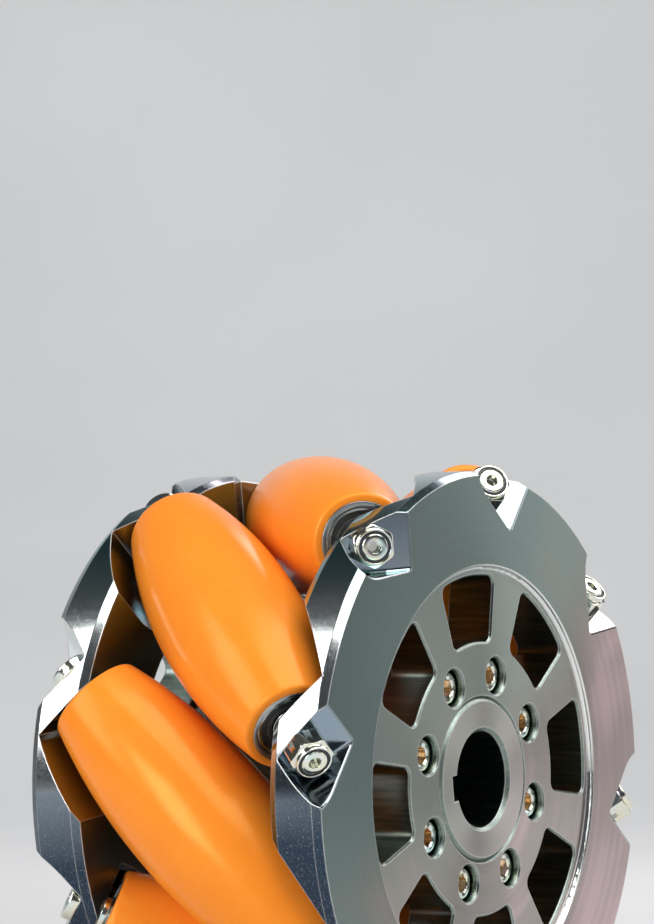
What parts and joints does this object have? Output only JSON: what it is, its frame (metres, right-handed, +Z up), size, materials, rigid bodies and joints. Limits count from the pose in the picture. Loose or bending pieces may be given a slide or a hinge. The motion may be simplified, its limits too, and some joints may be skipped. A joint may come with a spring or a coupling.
{
  "type": "mecanum wheel",
  "caption": "Heavy-duty mecanum wheel: two machined plates bolted to a keyed hub carry free-spinning barrel rollers set at 45 degrees, so a platform can drive sideways.",
  "frame": {"origin": "centre of the wheel, on the hub bore axis and midway between the two plates", "axes": "+Y along the wheel axis from the front plate (lock nuts) to the rear plate (bolt heads); +Z up; a roller centre lies at 53 degrees from +X towards +Z"},
  "size_m": [0.2032, 0.1056, 0.2032],
  "materials": {
    "plate_metal": "turned, zinc plated with iridescent passivation",
    "hub_metal": "turned, zinc plated with iridescent passivation",
    "screw_zinc": "bright yellow-tinted zinc",
    "bolt_zinc": "bright zinc",
    "nut_zinc": "bright zinc",
    "sleeve_steel": "turned",
    "spacer_steel": "bright zinc",
    "bearing_steel": "ground",
    "seal_rubber": "matt",
    "roller_polyurethane": "satin, finely turned",
    "roller_core_metal": "turned"
  },
  "bodies": {
    "wheel_frame": {"front_plate": "plate_metal", "rear_plate": "plate_metal", "hub": "hub_metal", "hub_screws_front": "screw_zinc", "hub_screws_rear": "screw_zinc", "axle_bolts": "bolt_zinc", "lock_nuts": "nut_zinc", "axle_sleeves": "sleeve_steel", "end_spacers": "spacer_steel", "bearing_inner_rings": "bearing_steel"},
    "roller_1": {"roller_tyre_1": "roller_polyurethane", "roller_core_1": "roller_core_metal", "bearing_outer_rings_1": "bearing_steel", "bearing_seals_1": "seal_rubber"},
    "roller_2": {"roller_tyre_2": "roller_polyurethane", "roller_core_2": "roller_core_metal", "bearing_outer_rings_2": "bearing_steel", "bearing_seals_2": "seal_rubber"},
    "roller_3": {"roller_tyre_3": "roller_polyurethane", "roller_core_3": "roller_core_metal", "bearing_outer_rings_3": "bearing_steel", "bearing_seals_3": "seal_rubber"},
    "roller_4": {"roller_tyre_4": "roller_polyurethane", "roller_core_4": "roller_core_metal", "bearing_outer_rings_4": "bearing_steel", "bearing_seals_4": "seal_rubber"},
    "roller_5": {"roller_tyre_5": "roller_polyurethane", "roller_core_5": "roller_core_metal", "bearing_outer_rings_5": "bearing_steel", "bearing_seals_5": "seal_rubber"},
    "roller_6": {"roller_tyre_6": "roller_polyurethane", "roller_core_6": "roller_core_metal", "bearing_outer_rings_6": "bearing_steel", "bearing_seals_6": "seal_rubber"},
    "roller_7": {"roller_tyre_7": "roller_polyurethane", "roller_core_7": "roller_core_metal", "bearing_outer_rings_7": "bearing_steel", "bearing_seals_7": "seal_rubber"},
    "roller_8": {"roller_tyre_8": "roller_polyurethane", "roller_core_8": "roller_core_metal", "bearing_outer_rings_8": "bearing_steel", "bearing_seals_8": "seal_rubber"}
  },
  "joints": [
    {"name": "roller_1_spin", "type": "hinge", "parent": "wheel_frame", "child": "roller_1", "pos_m": [0.04754, 0, 0.06309], "axis": [-0.5647, -0.7071, 0.4255], "continuous": true},
    {"name": "roller_2_spin", "type": "hinge", "parent": "wheel_frame", "child": "roller_2", "pos_m": [-0.01099, 0, 0.07823], "axis": [-0.7002, -0.7071, -0.0984], "continuous": true},
    {"name": "roller_3_spin", "type": "hinge", "parent": "wheel_frame", "child": "roller_3", "pos_m": [-0.06309, 0, 0.04754], "axis": [-0.4255, -0.7071, -0.5647], "continuous": true},
    {"name": "roller_4_spin", "type": "hinge", "parent": "wheel_frame", "child": "roller_4", "pos_m": [-0.07823, 0, -0.01099], "axis": [0.0984, -0.7071, -0.7002], "continuous": true},
    {"name": "roller_5_spin", "type": "hinge", "parent": "wheel_frame", "child": "roller_5", "pos_m": [-0.04754, 0, -0.06309], "axis": [0.5647, -0.7071, -0.4255], "continuous": true},
    {"name": "roller_6_spin", "type": "hinge", "parent": "wheel_frame", "child": "roller_6", "pos_m": [0.01099, 0, -0.07823], "axis": [0.7002, -0.7071, 0.0984], "continuous": true},
    {"name": "roller_7_spin", "type": "hinge", "parent": "wheel_frame", "child": "roller_7", "pos_m": [0.06309, 0, -0.04754], "axis": [0.4255, -0.7071, 0.5647], "continuous": true},
    {"name": "roller_8_spin", "type": "hinge", "parent": "wheel_frame", "child": "roller_8", "pos_m": [0.07823, 0, 0.01099], "axis": [-0.0984, -0.7071, 0.7002], "continuous": true}
  ]
}
